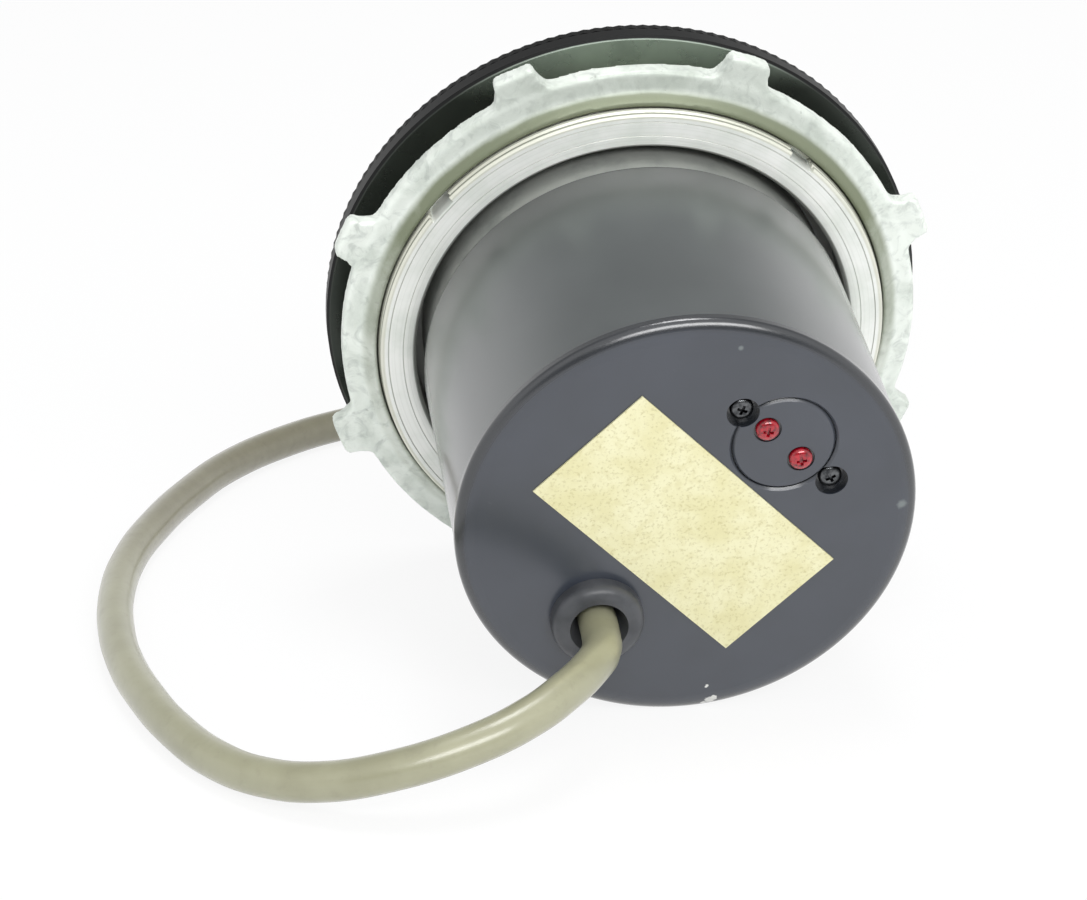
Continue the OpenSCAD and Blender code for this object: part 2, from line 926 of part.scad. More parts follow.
// Terminal strip for the cable's wires
module terminal_strip() {
    ways = 6;
    pitch = 3.8;
    top = board_z + board_t;
    color([0.15, 0.35, 0.20])
        on_axis()
            translate([-ways * pitch / 2, 10, top])
                difference() {
                    cube([ways * pitch, 8, 8.5]);
                    for (i = [0:ways - 1])
                        translate([(i + 0.5) * pitch, 4.4, 5])
                            cylinder(h = 5, r = 1.4);
                    for (i = [0:ways - 1])
                        translate([(i + 0.5) * pitch - 1.1, -1, 1.2])
                            cube([2.2, 3.4, 2.6]);
                }
}

// Clamp on the board that holds the cable against a pull
module cable_clamp() {
    top = board_z + board_t;
    color(black)
        on_axis()
            translate([grommet_at.x, grommet_at.y, top])
                difference() {
                    translate([-7.5, -4.5, 0])
                        cube([15, 9, 7.5]);
                    translate([0, 0, -1])
                        cylinder(h = 10, r = cable_r);
                    for (side = [-1, 1])
                        translate([side * 5.6, 0, -1])
                            cylinder(h = 10, r = 1.1);
                }
}

// End of the cable inside the body, from the clamp to the grommet
module cable_inner() {
    color(olive)
        on_axis()
            translate([grommet_at.x, grommet_at.y, board_z + board_t + 1])
                cylinder(h = cable_start - board_z - board_t - 1, r = cable_r);
}

// Outline of the milled edge: a circle of fine grooves
module milled_outline() {
    groove = 0.18;
    polygon([for (i = [0:2 * mill_count - 1]) polar(wheel_r - (i % 2) * groove, i * 180 / mill_count)]);
}

// Dished handwheel: milled edge, graduated bevel, ribs behind the web, hub and crank boss
module handwheel() {
    hub_rear = wheel_z;
    bevel_top = wheel_z - land_t;
    wall_r = wheel_r - 3.6;
    color(black)
        on_axis()
            difference() {
                union() {
                    union() {
                        turned([[hub_r, web_rear_z], [47.6, web_rear_z], [wall_r, wheel_z],
                            [wheel_r - 0.4, wheel_z], [wheel_r - 0.4, bevel_top], [bevel_r, rim_front],
                            [bevel_r - 2.4, rim_front], [bevel_r - 4, dish_z], [hub_r, dish_z]]);
                    }
                    difference() {
                        translate([0, 0, bevel_top])
                            linear_extrude(height = land_t)
                                milled_outline();
                        translate([0, 0, bevel_top - 1])
                            cylinder(h = 4, r = wall_r);
                    }
                    turned([[shaft_r, hub_front + 1.4], [10.1, hub_front + 1.4], [10.1, hub_front],
                        [hub_r - 1, hub_front], [hub_r, hub_front + 1], [hub_r + 0.5, dish_z],
                        [hub_r + 0.5, hub_rear], [shaft_r, hub_rear]]);
                    around(6)
                        translate([hub_r, -1.5, web_rear_z - 1])
                            cube([47 - hub_r, 3, 2.1]);
                    translate([0, -crank_r, knob_z + 0.4])
                        cylinder(h = web_rear_z - knob_z, r = 6.4);
                }
                translate([0, -crank_r, rim_front - 5])
                    cylinder(h = 30, r = spindle_r);
                for (turn = [0, 90])
                    rotate([0, 90, turn])
                        translate([11.6, 0, shaft_r - 1])
                            cylinder(h = 20, r = 1.5);
            }
}

// Cap over the end of the shaft
module hub_cap() {
    color(steel)
        on_axis()
            translate([0, 0, hub_front + 1.4])
                rotate([180, 0, 0])
                    rounded_plate(10, 2.2, 0.8);
}

// Two grub screws that hold the wheel on the shaft
module wheel_grub_screws() {
    color(black)
        on_axis()
            for (turn = [0, 90])
                rotate([0, 90, turn])
                    translate([11.6, 0, shaft_r])
                        difference() {
                            cylinder(h = 6.5, r = 1.5);
                            translate([0, 0, 4.5])
                                cylinder(h = 3, r = 0.75, $fn = 6);
                        }
}

// Spindle of the crank knob, with a head that keeps the knob on
module crank_spindle() {
    color(steel)
        on_axis()
            translate([0, -crank_r, 0])
                difference() {
                    union() {
                        translate([0, 0, spindle_end + 1])
                            cylinder(h = web_rear_z - spindle_end - 1, r = spindle_r);
                        translate([0, 0, spindle_end + 0.6])
                            cylinder(h = 1.6, r = 4.6);
                    }
                    translate([-2.6, -0.5, spindle_end - 1])
                        cube([5.2, 1, 2.6]);
                }
}

// Crank knob, waisted near the wheel and rounded at its end
module crank_knob() {
    z0 = knob_z;
    color(black)
        on_axis()
            translate([0, -crank_r, 0])
                difference() {
                    rotate_extrude() {
                        polygon([[0, z0], [knob_r - 2.4, z0], [knob_r - 3, z0 - 3], [knob_r - 1.1, z0 - 9],
                            [knob_r, z0 - 15], [knob_r - 0.4, z0 - 20], [knob_end_r, z0 - knob_l + 2],
                            [knob_end_r - 0.6, z0 - knob_l + 0.6], [knob_end_r - 2, z0 - knob_l], [0, z0 - knob_l]]);
                    }
                    translate([0, 0, spindle_end - 1])
                        cylinder(h = knob_l + 2, r = spindle_r + 0.08);
                    translate([0, 0, spindle_end - 1])
                        cylinder(h = 3.6, r = 4.9);
                }
}

// Cable from the grommet to the coil
module cable() {
    color(olive)
        swept(route, cable_r, 12);
}

// Outer shape of the coiled length
module cable_coil() {
    edge = 2.6;
    color(olive)
        translate([coil_at.x, coil_at.y, 0])
            turned([[coil_in_r + edge, 0], [coil_out_r - edge, 0], [coil_out_r, edge],
                [coil_out_r, coil_h - edge], [coil_out_r - edge, coil_h], [coil_in_r + edge, coil_h],
                [coil_in_r, coil_h - edge], [coil_in_r, edge]]);
}

// Tie round the coil
module cable_tie() {
    band = 0.8;
    tie_turn = 200;
    color(black)
        translate([coil_at.x, coil_at.y, 0])
            rotate([0, 0, tie_turn])
                translate([0, -2, 0])
                    difference() {
                        translate([coil_in_r - band, 0, 0])
                            cube([coil_out_r - coil_in_r + 2 * band, 4, coil_h + band]);
                        translate([coil_in_r, -1, band])
                            cube([coil_out_r - coil_in_r, 6, coil_h - band]);
                    }
}

// Last stretch of the cable, from the coil to the plug
module cable_tail() {
    color(olive)
        swept(tail, cable_r, 12);
}

// Places the plug in line with the end of the tail, pointing along +z
module at_plug() {
    dir = heading(tail, len(tail) - 1);
    translate(tail[len(tail) - 1])
        rotate([0, 0, atan2(dir.y, dir.x)])
            rotate([0, 90 - asin(dir.z), 0])
                children();
}

// Metal shell of the plug with its cable sleeve
module plug_shell() {
    color(steel)
        at_plug()
            difference() {
                turned([[0, 0], [4.4, 0], [5.2, 6], [plug_r, 8], [plug_r, plug_l - 8], [5.6, plug_l - 8],
                    [5.6, plug_l], [0, plug_l]]);
                translate([0, 0, plug_l - 5])
                    cylinder(h = 6, r = 4.6);
            }
}

// Coupling ring of the plug
module plug_ring() {
    color(steel)
        at_plug()
            difference() {
                tube(5.66, plug_ring_r, plug_l - 7.7, plug_l - 1);
                around(18)
                    translate([plug_ring_r + 0.2, 0, plug_l - 9])
                        cylinder(h = 9, r = 0.6);
            }
}

front_flange();
threaded_collar();
lock_nut();
bearing_housing();
body_can();
rear_cover();
adjusting_disc();
disc_clamp_screws();
sealed_screws();
data_plate();
cable_grommet();
flange_screws();
main_shaft();
outer_races();
inner_races();
bearing_balls();
bearing_spacer();
retaining_rings();
shaft_seal();
cover_seal();
detent_wheel();
detent_block();
detent_plunger();
detent_spring();
spring_plug();
code_disc();
code_hub();
hub_grub_screw();
light_gates();
circuit_board();
board_parts();
board_pillars();
board_screws();
terminal_strip();
cable_clamp();
cable_inner();
handwheel();
hub_cap();
wheel_grub_screws();
crank_spindle();
crank_knob();
cable();
cable_coil();
cable_tie();
cable_tail();
plug_shell();
plug_ring();
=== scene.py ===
import json
import math

import bpy
from mathutils import Matrix, Quaternion, Vector
from mathutils.geometry import interpolate_bezier


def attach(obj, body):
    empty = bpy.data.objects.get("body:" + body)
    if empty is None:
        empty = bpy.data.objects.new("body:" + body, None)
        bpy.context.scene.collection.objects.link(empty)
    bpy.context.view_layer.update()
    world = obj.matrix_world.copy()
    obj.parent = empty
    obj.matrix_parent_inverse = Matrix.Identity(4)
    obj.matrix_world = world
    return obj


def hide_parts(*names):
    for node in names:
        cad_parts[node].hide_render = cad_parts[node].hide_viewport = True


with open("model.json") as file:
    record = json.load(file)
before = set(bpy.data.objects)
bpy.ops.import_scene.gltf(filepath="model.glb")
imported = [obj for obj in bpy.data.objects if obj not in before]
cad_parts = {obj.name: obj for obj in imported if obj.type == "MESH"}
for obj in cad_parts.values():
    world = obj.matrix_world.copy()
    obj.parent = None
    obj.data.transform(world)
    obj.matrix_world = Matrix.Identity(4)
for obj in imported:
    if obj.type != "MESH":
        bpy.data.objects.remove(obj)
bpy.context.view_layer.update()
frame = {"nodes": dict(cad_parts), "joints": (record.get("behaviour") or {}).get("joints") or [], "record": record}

MM = 0.001

# The device's own frame: z runs back along the shaft from the panel seat, y is up
SHAFT = next(j for j in frame["joints"] if j["name"] == "wheel_spin")
SEAT = Vector(SHAFT["pos_m"])
FRONT = Vector(SHAFT["axis"])
TILT = math.asin(FRONT.z)
LAY = Matrix.Translation(SEAT) @ Matrix.Rotation(math.radians(90) + TILT, 4, "X")
REAR_Z = 70.5


# ---------------------------------------------------------------- camera and cable

def make_camera():
    lens_data = bpy.data.cameras.new("camera")
    lens_data.sensor_width = 36
    lens_data.lens = 110.42
    lens_data.clip_start = 0.01
    camera = bpy.data.objects.new("camera", lens_data)
    bpy.context.scene.collection.objects.link(camera)
    aim = Vector((0.12460, 0.93452, -0.33338))
    camera.rotation_mode = "QUATERNION"
    camera.rotation_quaternion = aim.to_track_quat("-Z", "Y") @ Quaternion((0, 0, 1), math.radians(-0.2))
    camera.location = (-0.0900, -0.55172, 0.22827)
    bpy.context.scene.camera = camera


CABLE_D = 6.5 * MM
COIL_AT = Vector((22, 153.3))


def cable_points():
    """The cable's route in millimetres: out of the grommet, round on the floor, into its coil, to the plug."""
    grommet = Vector((22.6 * math.cos(math.radians(230.5)), 22.6 * math.sin(math.radians(230.5)), 68.5))
    start = LAY @ (grommet * MM) / MM
    points = [start - FRONT * s for s in (0, 3.2, 6.5)]
    points += [Vector(p) for p in (
        (-15.1, -60, 18), (-17.9, -65.8, 17.4), (-22.6, -71.6, 16.3), (-28.1, -76.3, 14.8), (-38, -80.6, 12.2),
        (-52, -81, 8.5), (-62.3, -77.1, 5.7), (-70.5, -70.8, 4.1), (-77.7, -61.6, 3.4), (-84, -48.4, 3.3),
        (-88.3, -34.6, 3.3), (-91.4, -20.3, 3.3), (-92.9, -4, 3.3), (-92.6, 12, 3.3), (-90, 29.8, 3.3),
        (-84.8, 47, 3.3), (-77.9, 63.4, 3.3), (-69, 79, 3.3), (-57, 92.1, 3.3), (-45.5, 100.4, 3.3),
        (-31, 106.8, 3.3), (-15, 110.2, 3.3), (4, 111.2, 3.3))]
    outer, middle, inner, top = 42.3, 35.8, 29.3, 32.55
    for wound in range(0, 1161, 22):
        turned = wound / 360
        if turned < 0.83:
            radius, height = outer, 3.3
        elif turned < 1.83:
            radius, height = outer - (outer - middle) * min(1, (turned - 0.83) / 0.17), 3.3
        elif turned < 2.6:
            radius, height = middle - (middle - inner) * min(1, (turned - 1.83) / 0.17), 3.3
        else:
            lift = min(1, (turned - 2.6) / 0.17)
            radius = inner + (top - inner) * max(0, 2 * lift - 1)
            height = 3.3 + 6.5 * min(1, 1.6 * lift)
        angle = math.radians(wound - 90)
        points.append(Vector((COIL_AT.x + radius * math.cos(angle), COIL_AT.y + radius * math.sin(angle), height)))
    points += [Vector(p) for p in (
        (56.7, 160.8, 9.8), (59.3, 174.6, 9.7), (60.8, 182.4, 8.6), (61.8, 187.3, 8), (62.9, 193.2, 8))]
    return points


def make_cable():
    """One smooth curve through the route, made a mesh tube that keeps its line as its path."""
    data = bpy.data.curves.new("cable_line", "CURVE")
    data.dimensions = "3D"
    data.bevel_depth = CABLE_D / 2
    data.bevel_resolution = 6
    data.resolution_u = 8
    data.use_fill_caps = True
    points = cable_points()
    spline = data.splines.new("BEZIER")
    spline.bezier_points.add(len(points) - 1)
    for bead, point in zip(spline.bezier_points, points):
        bead.co = point * MM
        bead.handle_left_type = bead.handle_right_type = "AUTO"
    cable = bpy.data.objects.new("cable_line", data)
    bpy.context.scene.collection.objects.link(cable)
    bpy.context.view_layer.update()
    beads = spline.bezier_points
    line = [beads[0].co.copy()]
    for a, b in zip(beads, beads[1:]):
        line += interpolate_bezier(a.co, a.handle_right, b.handle_left, b.co, 9)[1:]
    bpy.ops.object.select_all(action="DESELECT")
    cable.select_set(True)
    bpy.context.view_layer.objects.active = cable
    bpy.ops.object.convert(target="MESH")
    cable = bpy.context.object
    cable.name = "cable_line"
    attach(cable, "body")
    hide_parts("cable", "cable_coil", "cable_tail")
    return cable, line


make_camera()
cable, cable_path = make_cable()


# ---------------------------------------------------------------- materials

class Wire:
    """A value on its way between nodes; operators on it add Math nodes."""

    def __init__(self, paint, socket):
        self.paint, self.socket = paint, socket

    def __add__(self, other): return self.paint.math("ADD", self, other)
    def __radd__(self, other): return self.paint.math("ADD", other, self)
    def __sub__(self, other): return self.paint.math("SUBTRACT", self, other)
    def __rsub__(self, other): return self.paint.math("SUBTRACT", other, self)
    def __mul__(self, other): return self.paint.math("MULTIPLY", self, other)
    def __rmul__(self, other): return self.paint.math("MULTIPLY", other, self)
    def __truediv__(self, other): return self.paint.math("DIVIDE", self, other)
    def sine(self): return self.paint.math("SINE", self)
    def root(self): return self.paint.math("SQRT", self)
    def size(self): return self.paint.math("ABSOLUTE", self)
    def most(self, other): return self.paint.math("MAXIMUM", self, other)

    def step(self, low, high):
        """0 below low, 1 above high, smooth between them."""
        return self.paint.node("ShaderNodeMapRange", {"interpolation_type": "SMOOTHSTEP"},
                               {0: self, 1: low, 2: high})

    def line(self, middle, half):
        """1 in a narrow band round middle, 0 outside it."""
        return 1 - (self - middle).size().step(half * 0.5, half)

    def part(self, name):
        return self.paint.node("ShaderNodeSeparateXYZ", {}, {0: self}, name)


class Paint:
    """A material and the nodes that work its finish out."""

    def __init__(self, name, **surface):
        self.material = bpy.data.materials.new(name)
        self.material.use_nodes = True
        self.tree = self.material.node_tree
        self.surface = self.tree.nodes["Principled BSDF"]
        for socket, value in surface.items():
            self.surface.inputs[socket.replace("_", " ")].default_value = value

    def node(self, kind, settings, values, output=0):
        made = self.tree.nodes.new(kind)
        for name, value in settings.items():
            setattr(made, name, value)
        for key, value in values.items():
            if isinstance(value, Wire):
                self.tree.links.new(value.socket, made.inputs[key])
            else:
                made.inputs[key].default_value = value
        return Wire(self, made.outputs[output])

    def math(self, operation, *values):
        return self.node("ShaderNodeMath", {"operation": operation}, dict(enumerate(values)))

    def place(self):
        return self.node("ShaderNodeTexCoord", {}, {}, "Object")

    def on_axis(self):
        """Object coordinates turned into the device's own frame."""
        return self.node("ShaderNodeMapping", {"vector_type": "TEXTURE"},
                         {0: self.place(), 1: SEAT, 2: (math.radians(90) + TILT, 0, 0)})

    def noise(self, where, size, detail=4, rough=0.55, warp=0):
        """Noise whose blobs are about size millimetres across."""
        return self.node("ShaderNodeTexNoise", {}, {"Vector": where, "Scale": 1 / (size * MM),
                         "Detail": detail, "Roughness": rough, "Distortion": warp})

    def mix(self, factor, a, b):
        return self.node("ShaderNodeMix", {"data_type": "RGBA"}, {0: factor, 6: a, 7: b}, 2)

    def feed(self, **sockets):
        for name, wire in sockets.items():
            self.tree.links.new(wire.socket, self.surface.inputs[name.replace("_", " ")])
        return self.material

    def bump(self, height, depth, strength=1.0):
        """Height from 0 to 1, depth in millimetres."""
        return self.node("ShaderNodeBump", {}, {"Strength": strength, "Distance": depth * MM, "Height": height})


class Room(Paint):
    """The same nodes in the world's tree, where a place is a direction."""

    def __init__(self, tree):
        self.tree = tree
        self.surface = tree.nodes["Background"]

    def place(self):
        return self.node("ShaderNodeTexCoord", {}, {}, "Generated")


def tone(r, g, b):
    """A colour from 0 to 255 as seen, made linear."""
    return tuple(c / 255 / 12.92 if c <= 10.3 else ((c / 255 + 0.055) / 1.055) ** 2.4 for c in (r, g, b)) + (1,)


def slate_paint():
    """Slate grey paint: satin on the can, with painted shade darkening it towards the collar, glossier on the rear
    cover, chipped at the bottom of its edge.
    """
    paint = Paint("slate_paint", IOR=1.5, Coat_Weight=1.0, Coat_Roughness=0.2)
    here = paint.on_axis()
    x, y, z = (here.part(n) for n in "XYZ")
    cloud = paint.noise(here, 24, 3)
    grain = paint.noise(here, 0.35, 2)
    cover = z.step(67.2 * MM, 67.6 * MM)
    rear = z.step(70.0 * MM, 70.4 * MM)
    side = paint.mix(cloud.step(0.35, 0.7), tone(64, 69, 70), tone(71, 76, 77))
    # painted shade: the can's colour darkens towards the collar, standing in for the shade of the collar, nut and
    # flange
    side = paint.mix(z.step(12 * MM, 34 * MM), tone(10, 11, 11), side)
    edge = paint.mix(cloud.step(0.35, 0.7), tone(36, 39, 43), tone(42, 45, 50))
    face = paint.mix(cloud.step(0.35, 0.7), tone(46, 51, 60), tone(52, 57, 67))
    colour = paint.mix(rear, paint.mix(cover, side, edge), face)
    ragged = (paint.noise(here, 0.8, 3) - 0.5) * (0.9 * MM)
    chips = 0.0
    for cx, cy, size in ((4.9, -33, 0.42), (5.6, -36.2, 1.0), (6.3, -35.6, 0.7), (4.6, -36.9, 0.6)):
        far = ((x - cx * MM) * (x - cx * MM) + (y - cy * MM) * (y - cy * MM)).root() + ragged
        spot = 1 - far.step(size * 0.6 * MM, size * MM)
        chips = spot.most(chips)
    chips = chips * z.step(66 * MM, 67 * MM)
    worn = ((x - 35.3 * MM) * (x - 35.3 * MM) + (y - 1.9 * MM) * (y - 1.9 * MM)).root() + ragged
    worn = (1 - worn.step(0.3 * MM, 1.1 * MM)) * rear * 0.35
    speck = ((x - 6.7 * MM) * (x - 6.7 * MM) + (y - 33.1 * MM) * (y - 33.1 * MM)).root()
    speck = (1 - speck.step(0.15 * MM, 0.6 * MM)) * rear * 0.35
    colour = paint.mix(chips, colour, tone(216, 216, 212))
    colour = paint.mix(worn.most(speck), colour, tone(150, 160, 156))
    dust = paint.noise(here, 1.4, 5, 0.7).step(0.68, 0.80)
    colour = paint.mix(dust * 0.10, colour, tone(150, 150, 152))
    rough = 0.36 + cloud * 0.08 - cover * 0.18 + rear * 0.10 + chips * 0.3
    return paint.feed(Base_Color=colour, Roughness=rough, Normal=paint.bump(grain - chips, 0.015, 0.5))


def turned_collar():
    """Bright turned collar: ring marks on its rear face, a stained thread with painted shade along its crest at the
    nut, and a dark bore.
    """
    paint = Paint("bright_collar")
    here = paint.on_axis()
    x, y, z = (here.part(n) for n in "XYZ")
    radius = (x * x + y * y).root()
    bore = 1 - radius.step(39.0 * MM, 39.25 * MM)
    thread = radius.step(43.9 * MM, 44.3 * MM)
    stain = paint.noise(here, 11, 5, 0.6)
    fine = paint.noise(here, 0.8, 4)
    streak = paint.node("ShaderNodeTexNoise", {"noise_dimensions": "1D"},
                        {"W": (radius + z * 0.5) * (1 / (0.45 * MM)), "Scale": 1.0, "Detail": 3})
    colour = paint.mix(stain.step(0.38, 0.72), tone(250, 252, 248), tone(232, 237, 230))
    colour = paint.mix(streak.step(0.45, 0.75) * 0.22, colour, tone(196, 200, 192))
    lines = (radius.line(43.4 * MM, 0.14 * MM)).most(radius.line(40.8 * MM, 0.12 * MM))
    colour = paint.mix(lines * 0.55, colour, tone(140, 142, 132))
    colour = paint.mix(thread * 0.6, colour, tone(206, 206, 186))
    # painted shade: the thread's crest is darkened where it meets the nut's bore
    colour = paint.mix(radius.step(44.7 * MM, 44.85 * MM) * 0.7, colour, tone(84, 86, 70))
    colour = paint.mix(bore, colour, tone(134, 136, 132))
    return paint.feed(Base_Color=colour, Metallic=0.35 - bore * 0.3, Roughness=0.36 + stain * 0.12,
                      Normal=paint.bump(streak * 0.6 + fine * 0.4 - lines, 0.015, 0.5))


def turned_housing():
    """Dark chromated housing with fine ring marks."""
    paint = Paint("bare_housing", Metallic=0.2)
    here = paint.on_axis()
    x, y, z = (here.part(n) for n in "XYZ")
    rings = (((x * x + y * y).root() + z) * (2 * math.pi / (0.3 * MM))).sine()
    stain = paint.noise(here, 7, 5, 0.65)
    colour = paint.mix(stain.step(0.40, 0.72), tone(158, 161, 156), tone(136, 140, 136))
    return paint.feed(Base_Color=colour, Roughness=0.34 + stain * 0.15, Normal=paint.bump(rings, 0.006, 0.5))


def zinc_casting():
    """Matt cast zinc: grainy skin, pale grey stains, a greenish turned cone round the thread, with painted shade on the
    cone and rear face towards the top and in the gap round the collar.
    """
    paint = Paint("zinc_casting", Metallic=0.30)
    here = paint.on_axis()
    x, y, z = (here.part(n) for n in "XYZ")
    radius = (x * x + y * y).root()
    stain = paint.noise(here, 10, 6, 0.62, 0.4)
    pits = paint.noise(here, 1.6, 3, 0.6).step(0.68, 0.76)
    grain = paint.noise(here, 0.6, 5, 0.7)
    streak = paint.noise(here, 3.2, 4, 0.6, 1.2)
    colour = paint.mix(stain.step(0.40, 0.75), tone(240, 246, 239), tone(210, 218, 209))
    colour = paint.mix(streak.step(0.46, 0.72) * 0.5, colour, tone(172, 180, 174))
    # the turned cone keeps its own greenish tone; painted shade makes it darker towards the top
    cone = (1 - radius.step(46.8 * MM, 48.4 * MM)) * z.step(9.5 * MM, 9.7 * MM)
    shade_towards_top = (y / radius).step(-0.4, 0.9)
    colour = paint.mix(cone * (shade_towards_top * 0.9 + 0.25) * (0.6 + stain * 0.9), colour, tone(124, 131, 108))
    # painted shade: a dark ring at the bore's rear edge, in the gap round the collar
    gap_shade = (1 - radius.step(45.15 * MM, 45.5 * MM)) * z.step(8 * MM, 8.5 * MM)
    # painted shade: the top of the nut's rear face is darkened, mottled by the stain noise
    crest = (y / radius).step(0.5, 1.0) * (1 - cone) * z.step(8.5 * MM, 9.5 * MM)
    colour = paint.mix(crest * (0.3 + stain * 0.5), colour, tone(168, 176, 166))
    colour = paint.mix(pits * 0.35, colour, tone(130, 132, 124))
    colour = paint.mix(gap_shade * 0.85, colour, tone(46, 48, 38))
    return paint.feed(Base_Color=colour, Roughness=0.40 + stain * 0.22 - cone * 0.1,
                      Normal=paint.bump(grain * 0.7 + streak + stain * 2 - pits, 0.07, 0.7))


def plain(name, light, dark, size, rough, grain=0.4, depth=0.01, metallic=0.0, **surface):
    """A moulded, rubber or plated finish: two close tones, a fine grain and uneven gloss."""
    paint = Paint(name, Metallic=metallic, **surface)
    here = paint.place()
    cloud = paint.noise(here, size, 4)
    skin = paint.noise(here, grain, 3)
    colour = paint.mix(cloud.step(0.35, 0.7), tone(*light), tone(*dark))
    return paint.feed(Base_Color=colour, Roughness=rough + (cloud - 0.5) * 0.15, Normal=paint.bump(skin, depth, 0.6))


def plate_foil():
    """Bare pale yellow foil with a mottled, speckled print ground and a paler border."""
    paint = Paint("plate_foil", Specular_IOR_Level=0.4)
    here = paint.on_axis()
    cloud = paint.noise(here, 8, 4)
    speck = paint.noise(here, 0.55, 3, 0.7)
    mottle = paint.noise(here, 1.8, 3, 0.6)
    colour = paint.mix(cloud.step(0.35, 0.68), tone(223, 220, 184), tone(214, 209, 164))
    colour = paint.mix(mottle.step(0.48, 0.66) * 0.45, colour, tone(208, 202, 156))
    colour = paint.mix(speck.step(0.52, 0.66) * 0.55, colour, tone(184, 176, 128))
    return paint.feed(Base_Color=colour, Roughness=0.42 + speck * 0.2, Normal=paint.bump(speck, 0.01, 0.5))


def flange_anodised():
    """Black anodised flange: a dull edge, and a smoother rear face that mirrors the nut a little, with a painted
    reflection lightening it towards the top.
    """
    paint = Paint("flange_anodised", Specular_IOR_Level=0.22)
    here = paint.on_axis()
    cloud = paint.noise(here, 6, 4)
    skin = paint.noise(here, 0.35, 3)
    face = here.part("Z").step(-0.25 * MM, -0.05 * MM)
    # painted reflection: the rear face is painted lighter towards its top, standing in for the lit nut it mirrors
    painted_top_reflection = (here.part("Y") * (1 / (53.2 * MM))).step(0.78, 0.98)
    colour = paint.mix(painted_top_reflection * (0.75 + cloud * 0.5), tone(62, 66, 62), tone(166, 178, 166))
    colour = paint.mix(face, tone(14, 15, 15), colour)
    return paint.feed(Base_Color=colour, Metallic=face * 0.85, Roughness=0.42 - face * 0.14 + (cloud - 0.5) * 0.1,
                      Normal=paint.bump(skin, 0.008, 0.5))


def board_finish():
    """Green board with copper tracks under the lacquer."""
    paint = Paint("board", Roughness=0.35)
    here = paint.on_axis()
    tracks = (here.part("X") * (2 * math.pi / (2.5 * MM))).sine().step(0.75, 0.85)
    gaps = paint.noise(here, 9, 1).step(0.50, 0.52)
    colour = paint.mix(tracks * gaps, tone(16, 92, 52), tone(60, 140, 76))
    return paint.feed(Base_Color=colour, Normal=paint.bump(tracks, 0.03, 0.6))


def cable_sheath():
    """Olive grey vinyl sheath with a soft gloss, slightly dirty along its length."""
    paint = Paint("cable_sheath", IOR=1.55, Coat_Weight=0.7, Coat_Roughness=0.22)
    here = paint.place()
    cloud = paint.noise(here, 16, 4)
    dirt = paint.noise(here, 2.2, 5, 0.65)
    skin = paint.noise(here, 0.5, 3)
    colour = paint.mix(cloud.step(0.35, 0.7), tone(158, 157, 131), tone(145, 144, 118))
    colour = paint.mix(dirt.step(0.52, 0.74) * 0.30, colour, tone(132, 130, 110))
    # the stretch of cable from about y = 0 to 0.13 m is made darker
    far_stretch = here.part("Y").step(-0.005, 0.05) * (1 - here.part("Y").step(0.09, 0.13))
    colour = paint.mix(far_stretch * (0.35 + dirt * 0.5), colour, tone(116, 110, 92))
    return paint.feed(Base_Color=colour, Roughness=0.27 + dirt * 0.14, Normal=paint.bump(skin, 0.012, 0.5))


FINISHES = {
    "slate_paint": slate_paint(),
    "bright_collar": turned_collar(),
    "bare_housing": turned_housing(),
    "zinc_casting": zinc_casting(),
    "black_anodised": plain("black_anodised", (11, 12, 12), (19, 20, 20), 12, 0.44, 0.3, 0.008,
                            Specular_IOR_Level=0.16),
    "black_steel": plain("black_steel", (112, 114, 116), (58, 60, 62), 1.0, 0.24, 0.3, 0.02, 1.0),
    "red_lacquer": plain("red_lacquer", (176, 12, 34), (92, 4, 14), 0.7, 0.2, 0.5, 0.05, 0.25, Coat_Weight=1.0),
    "plate_foil": plate_foil(),
    "dark_rubber": plain("dark_rubber", (74, 76, 80), (60, 62, 66), 4, 0.38, 0.25, 0.01),
    "bearing_steel": plain("bearing_steel", (188, 190, 194), (180, 182, 186), 3, 0.22, 0.3, 0.004, 1.0),
    "brass": plain("brass", (214, 178, 100), (182, 142, 74), 4, 0.28, 0.3, 0.006, 1.0),
    "black_plastic": plain("black_plastic", (28, 28, 30), (38, 38, 40), 5, 0.36, 0.25, 0.012),
    "board": board_finish(),
    "terminal_green": plain("terminal_green", (42, 124, 74), (32, 104, 60), 4, 0.4, 0.3, 0.01),
    "cable_sheath": cable_sheath(),
    "plug_metal": plain("plug_metal", (186, 187, 188), (176, 177, 178), 4, 0.26, 0.3, 0.005, 1.0),
}
FLANGE_FINISH = flange_anodised()
DIAL_WHITE = plain("dial_white", (232, 232, 226), (214, 214, 206), 2, 0.45, 0.3, 0.01)

for name, thing in frame["nodes"].items():
    slot_name = next(s["material_slot"] for s in frame["record"]["subparts"] if s["node"] == name)
    thing.data.materials.clear()
    thing.data.materials.append(FLANGE_FINISH if name == "front_flange" else FINISHES[slot_name])
cable.data.materials.append(FINISHES["cable_sheath"])


# ---------------------------------------------------------------- tools for the new pieces

def clear_selection():
    if bpy.context.object and bpy.context.object.mode == "EDIT":
        bpy.ops.object.mode_set(mode="OBJECT")
    bpy.ops.object.select_all(action="DESELECT")


def apply_modifier(piece, kind, **settings):
    """Adds a modifier, sets it and applies it."""
    clear_selection()
    piece.select_set(True)
    bpy.context.view_layer.objects.active = piece
    modifier = piece.modifiers.new(kind.lower(), kind)
    for name, value in settings.items():
        setattr(modifier, name, value)
    bpy.ops.object.modifier_apply(modifier=modifier.name)
    return piece


def join(name, pieces):
    clear_selection()
    for piece in pieces:
        piece.select_set(True)
    bpy.context.view_layer.objects.active = pieces[0]
    bpy.ops.object.join()
    joined = bpy.context.object
    joined.name = name
    return joined


def copy_of(piece, name, place=Matrix.Identity(4)):
    """A copy with its own mesh, moved in its mesh."""
    copied = piece.copy()
    copied.data = piece.data.copy()
    copied.name = name
    bpy.context.scene.collection.objects.link(copied)
    copied.data.transform(place)
    return copied


